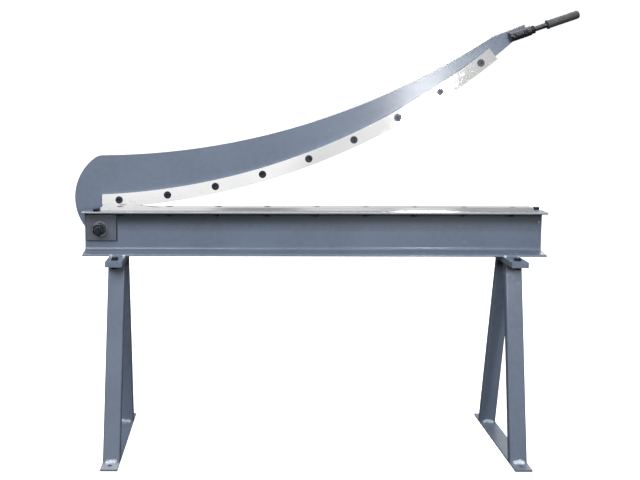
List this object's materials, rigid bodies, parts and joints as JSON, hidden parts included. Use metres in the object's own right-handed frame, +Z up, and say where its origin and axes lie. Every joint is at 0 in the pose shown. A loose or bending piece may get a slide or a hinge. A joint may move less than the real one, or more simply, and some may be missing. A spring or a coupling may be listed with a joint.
{
  "type": "guillotine shear",
  "caption": "Hand-lever guillotine shear for sheet metal: a curved blade on a long pivoting arm cuts against a straight blade on a channel bed, carried by two A-frame stands.",
  "frame": {"origin": "on the floor, in the middle of the four floor-bolt holes of the two foot plates", "axes": "+X along the bed, from the pivot to the handle; +Y from the operator's side to the back; +Z up"},
  "size_m": [1.5361, 0.398, 1.3355],
  "materials": {
    "slate_paint": "glossy slate blue-grey paint",
    "blade_steel": "ground",
    "weld_steel": "rippled weld beads, lightly painted",
    "black_steel": "black oxide",
    "bright_steel": "bright zinc",
    "bush_bronze": "machined",
    "handle_steel": "blackened, satin",
    "grip_rubber": "satin"
  },
  "bodies": {
    "stand_and_bed": {"bed_channel": "slate_paint", "pivot_plate": "slate_paint", "lug_front_left": "slate_paint", "lug_front_right": "slate_paint", "lug_back_left": "slate_paint", "lug_back_right": "slate_paint", "cap_plate_left": "slate_paint", "cap_plate_right": "slate_paint", "front_leg_left": "slate_paint", "front_leg_right": "slate_paint", "back_leg_left": "slate_paint", "back_leg_right": "slate_paint", "foot_plate_left": "slate_paint", "foot_plate_right": "slate_paint", "arm_stop_bracket": "slate_paint", "lower_blade": "blade_steel", "foot_welds_left": "weld_steel", "foot_welds_right": "weld_steel", "lug_welds": "weld_steel", "lower_blade_screws": "black_steel", "pivot_bolt": "black_steel", "pivot_nut": "black_steel", "lug_bolts": "black_steel", "lug_nuts": "black_steel", "flange_bolt": "black_steel", "arm_stop_screw": "black_steel", "arm_stop_bolt": "black_steel", "arm_stop_lock_nut": "black_steel", "pivot_front_washer": "bright_steel", "pivot_back_washer": "bright_steel", "pivot_spacer": "bright_steel"},
    "arm": {"arm_plate": "slate_paint", "pivot_bush": "bush_bronze", "upper_blade": "blade_steel", "upper_blade_screws": "black_steel", "handle_socket": "handle_steel", "socket_screws": "black_steel", "socket_washers": "bright_steel", "socket_nuts": "black_steel", "handle_lock_nut": "handle_steel", "handle_rod": "handle_steel", "handle_grip": "grip_rubber"}
  },
  "joints": [
    {"name": "arm_pivot", "type": "hinge", "parent": "stand_and_bed", "child": "arm", "pos_m": [-0.652, 0.0443, 0.6685], "axis": [0, 1, 0], "range_deg": [-15, 21.15]}
  ]
}
